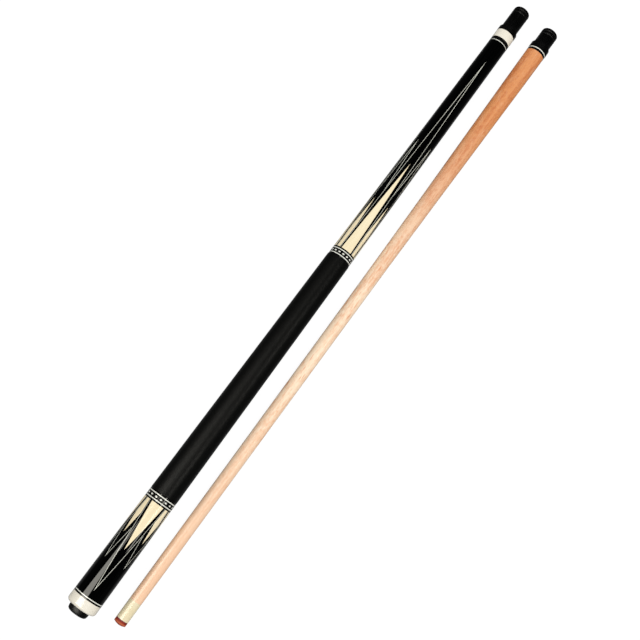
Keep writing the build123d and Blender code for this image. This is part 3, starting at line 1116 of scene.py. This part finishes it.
def makePin(name, node, noseAtEnd, shape):
    size = measure(node)
    depth = shape["pinDepth"]
    crest = size["radius"]
    neck = plainRadius(crest - depth - shape["neck"])
    nose = plainRadius(crest - depth - shape["nose"])
    lead = shape["lead"]
    fades = (shape["rootFade"], shape["noseFade"])
    if noseAtEnd:
        rows = [(size["end"], nose), (size["end"] - lead / 2, neck)]
        rows += threadRows(size["start"], size["end"] - lead, crest, depth, shape, *fades)
    else:
        rows = threadRows(size["start"] + lead, size["end"], crest, depth, shape, *fades[::-1])
        rows += [(size["start"] + lead / 2, neck), (size["start"], nose)]
    settle(newPiece(name, skinRows(name, rows, shape, loop=False)), node)


def makeInsert(name, node, shape):
    size = measure(node)
    depth = shape["boreDepth"]
    deep = size["bore"] + depth
    outer = plainRadius(size["radius"])
    mouth = plainRadius(deep + shape["mouth"])
    start = size["start"] + shape["boreFlare"]
    end = size["end"] - shape["boreFlare"]
    rows = [(size["end"], outer), (size["start"], outer), (size["start"], mouth)]
    rows += threadRows(start, end, deep, depth, shape, shape["boreFade"], shape["boreFade"])[::-1]
    rows.append((size["end"], mouth))
    settle(newPiece(name, skinRows(name, rows, shape, loop=True)), node)


makePin("joint_pin_threaded", "joint_pin", True, jointShape)
makePin("shaft_protector_stud_threaded", "shaft_protector_stud", False, jointShape)
makeInsert("shaft_insert_threaded", "shaft_insert", jointShape)
makeInsert("butt_protector_insert_threaded", "butt_protector_insert", jointShape)
print("joint made")

# shaft: wood, rings, ferrule, pad and tip
shaftShape = {
    "taper": [  # distance behind the joint face and radius, in millimetres
        (3.8, 10.5),
        (43.7, 10.2),
        (120.7, 9.3),
        (208.7, 8.25),
        (293.7, 7.5),
        (383.7, 7.18),
        (707.5, 6.42),
    ],
    "insertDepth": 24.0 * mm,
    "tenon": 7.6 * mm,
    "ferruleTenon": 4.0 * mm,
    "ferruleSeat": 2.3 * mm,
    "edge": 0.06 * mm,
}


def makeShaftWood(shape):
    black = measure("shaft_black_collar")
    ferrule = measure("ferrule")
    insert = measure("shaft_insert")
    outline = [
        (-shape["insertDepth"], 0),
        (-shape["insertDepth"], insert["radius"]),
        (0, insert["radius"]),
        (0, shape["tenon"]),
        (black["start"], shape["tenon"]),
    ]
    outline += [(-behind * mm, radius * mm) for behind, radius in shape["taper"]]
    seat = ferrule["start"] + shape["ferruleSeat"]
    tenon = shape["ferruleTenon"]
    outline += [(ferrule["end"], tenon), (seat, tenon), (seat, 0)]
    turnPiece("shaft_wood_turned", "shaft_wood", [outline], shape["edge"])
    for ringNode in ("shaft_black_collar", "shaft_silver_ring"):
        turnRing(ringNode + "_turned", ringNode, shape["edge"])
    ferruleOutline = [(seat, 0), (seat, tenon), (ferrule["end"], tenon)]
    ferruleOutline += [(ferrule["end"], ferrule["radius"]), (ferrule["start"], ferrule["radius"])]
    ferruleOutline.append((ferrule["start"], 0))
    turnPiece("ferrule_turned", "ferrule", [ferruleOutline], shape["edge"])


tipShape = {
    "layers": 6,
    "groove": 0.05 * mm,
    "grooveShare": 0.12,  # half a groove's width, as a share of a layer
    "dome": 13.5 * mm,
    "domeCorners": 8,
    "edge": 0.15 * mm,
    "padEdge": 0.06 * mm,
}


# the tip is pressed from layers, so its side has fine grooves, and its top is a low dome
def makeTip(shape):
    size = measure("tip")
    radius = size["radius"]
    dome = shape["dome"]
    sideFrom = size["start"] + dome - math.sqrt(dome**2 - radius**2)
    layer = (size["end"] - sideFrom) / shape["layers"]
    lip = shape["grooveShare"] * layer
    outline = [(size["end"], 0), (size["end"], radius)]
    for index in range(1, shape["layers"]):
        middle = size["end"] - index * layer
        outline += [(middle + lip, radius), (middle, radius - shape["groove"]), (middle - lip, radius)]
    spread = math.degrees(math.asin(radius / dome))
    crown = arc(size["start"] + dome, 0, dome, 180 - spread, 180, shape["domeCorners"])
    outline += crown[:-1] + [(size["start"], 0)]
    turnPiece("tip_layered", "tip", [outline], shape["edge"], edgeRows=3)
    pad = measure("tip_pad")
    padOutline = ringOutline(pad["start"], pad["end"], pad["radius"], pad["radius"], 0)
    turnPiece("tip_pad_turned", "tip_pad", [padOutline], shape["padEdge"])


makeShaftWood(shaftShape)
makeTip(tipShape)
print("shaft made")

# joint protectors and their grip rings
protectorShape = {
    "butt": {"foot": 5.5 * mm, "bore": 4.8 * mm, "boreEnd": 28.5 * mm, "insertEnd": 24.0 * mm},
    "shaft": {"foot": 7.3 * mm, "bore": 4.75 * mm, "boreEnd": 20.0 * mm, "insertEnd": 0.0},
    "shoulder": 3.0 * mm,
    "barrel": 9.2 * mm,
    "round": 3.0 * mm,
    "rings": (4.4 * mm, 8.2 * mm),
    "ringWidth": 1.3 * mm,
    "ringDepth": 0.8 * mm,
    "ringProud": 0.12 * mm,
    "clearance": 0.05 * mm,
    "insertRadius": 6.5 * mm,
    "edge": 0.3 * mm,
    "ringEdge": 0.05 * mm,
}


def makeProtector(stick, shape):
    node = stick + "_protector"
    size = measure(node)
    own = shape[stick]
    barrel = shape["barrel"]
    outline = [(size["end"], 0)]
    outline += arc(size["end"] - shape["round"], barrel - shape["round"], shape["round"], 0, 90)
    for offset in shape["rings"]:
        middle = size["end"] - offset
        high = middle + shape["ringWidth"] / 2
        low = middle - shape["ringWidth"] / 2
        bottom = barrel - shape["ringDepth"]
        outline += [(high, barrel), (high, bottom), (low, bottom), (low, barrel)]
    outline += [
        (own["foot"] + shape["shoulder"], barrel),
        (own["foot"], size["radius"]),
        (size["start"], size["radius"]),
    ]
    if own["insertEnd"]:
        outline += [
            (size["start"], shape["insertRadius"]),
            (own["insertEnd"], shape["insertRadius"]),
            (own["insertEnd"], own["bore"]),
        ]
    else:
        outline.append((size["start"], own["bore"]))
    outline += [(own["boreEnd"], own["bore"]), (own["boreEnd"], 0)]
    turnPiece(node + "_turned", node, [outline], shape["edge"])

    ringOutlines = []
    top = barrel + shape["ringProud"]
    bottom = barrel - shape["ringDepth"] + shape["clearance"]
    half = shape["ringWidth"] / 2 - shape["clearance"]
    for offset in shape["rings"]:
        middle = size["end"] - offset
        crown = arc(middle, top - half, half, 0, 180)
        ringOutlines.append([(middle + half, bottom)] + crown + [(middle - half, bottom)])
    rings = stick + "_grip_rings"
    turnPiece(rings + "_moulded", rings, ringOutlines, shape["ringEdge"], closed=True)


for stickName in sticks:
    makeProtector(stickName, protectorShape)
print("protectors made")

# studio: a pale floor, an even white surround, and softboxes that glossy surfaces show
floorLook = {"size": 4.0, "glow": 0.93, "paint": 0.12}


def makeFloor(look):
    size = look["size"]
    mesh = bpy.data.meshes.new("floor")
    corners = [(-size, -size, 0), (size, -size, 0), (size, size, 0), (-size, size, 0)]
    mesh.from_pydata(corners, [], [(0, 1, 2, 3)])
    floor = newPiece("floor", mesh)
    material = newMaterial(
        "floor",
        0.9,
        Specular_IOR_Level=0.0,
        Base_Color=(look["paint"],) * 3 + (1.0,),
        Emission_Color=(1.0, 1.0, 1.0, 1.0),
        Emission_Strength=look["glow"],
    )[0]
    mesh.materials.append(material)
    floor.visible_glossy = False
    floor.visible_diffuse = False


surroundLook = {
    "seen": 1.05,
    "diffuseSky": 1.155,
    "diffuseGround": 0.2,
    "shaftSide": 1.1,  # the light from this side is this much stronger
    "buttSide": 0.9,
    "glossZenith": 0.0,
    "glossHorizon": 0.02,
    "glossGround": 0.28,  # shown by the sides of each stick, which turn away from the view
}


# white to the eye, soft on matt surfaces, and dark overhead in gloss
def makeSurround(look):
    world = bpy.data.worlds.new("surround")
    bpy.context.scene.world = world
    world.use_nodes = True
    tree = world.node_tree
    background = tree.nodes["Background"]
    direction = addNode(tree, "TexCoord").outputs["Generated"]
    parts = addNode(tree, "SeparateXYZ", {0: direction}).outputs
    height = parts["Z"]
    rays = addNode(tree, "LightPath").outputs
    even = mapRange(tree, height, -0.1, 0.1, look["diffuseGround"], look["diffuseSky"])
    across = mapRange(tree, parts["Y"], -1.0, 1.0, look["shaftSide"], look["buttSide"])
    diffuse = calculate(tree, "MULTIPLY", even, across)
    upper = mapRange(tree, height, 0.05, 0.6, look["glossHorizon"], look["glossZenith"])
    lower = mapRange(tree, height, -0.95, -0.2, look["glossGround"], 0.0)
    glossy = calculate(tree, "MAXIMUM", upper, lower)
    lit = blendValues(tree, rays["Is Glossy Ray"], diffuse, glossy)
    seen = blendValues(tree, rays["Is Camera Ray"], lit, look["seen"])
    tree.links.new(seen, background.inputs["Strength"])
    background.inputs["Color"].default_value = (1.0, 1.0, 1.0, 1.0)


panelHeight = 1.6
panelColour = (1.0, 0.97, 0.88, 1.0)
panels = {  # only gloss shows them; each has its corners, across the room, and its strength
    "rearSoftbox": {
        "corners": [(-0.31, 1.02), (-0.565, -0.04), (-1.4, -0.4), (-1.4, 2.6), (-0.565, 1.68)],
        "strength": 5.5,
    },
    "leftStrip": {
        "corners": [(-0.40, 0.66), (-0.40, 0.50), (0.48, 0.10), (0.48, 0.26)],
        "strength": 3.3,
    },
    "rightStrip": {
        "corners": [(-0.40, -0.80), (-0.40, -1.10), (0.48, -1.30), (0.48, -1.05)],
        "strength": 5.5,
    },
}


def hangPanel(name, panel):
    mesh = bpy.data.meshes.new(name)
    corners = [(x, y, panelHeight) for x, y in panel["corners"]]
    mesh.from_pydata(corners, [], [tuple(range(len(corners)))])
    piece = newPiece(name, mesh)
    glow = {"Emission_Color": panelColour, "Emission_Strength": panel["strength"]}
    material = newMaterial(name, 1.0, Base_Color=(0.0, 0.0, 0.0, 1.0), **glow)[0]
    mesh.materials.append(material)
    piece.visible_camera = False
    piece.visible_diffuse = False
    piece.visible_shadow = False


makeFloor(floorLook)
makeSurround(surroundLook)
for panelName, panel in panels.items():
    hangPanel(panelName, panel)
print("studio lit")
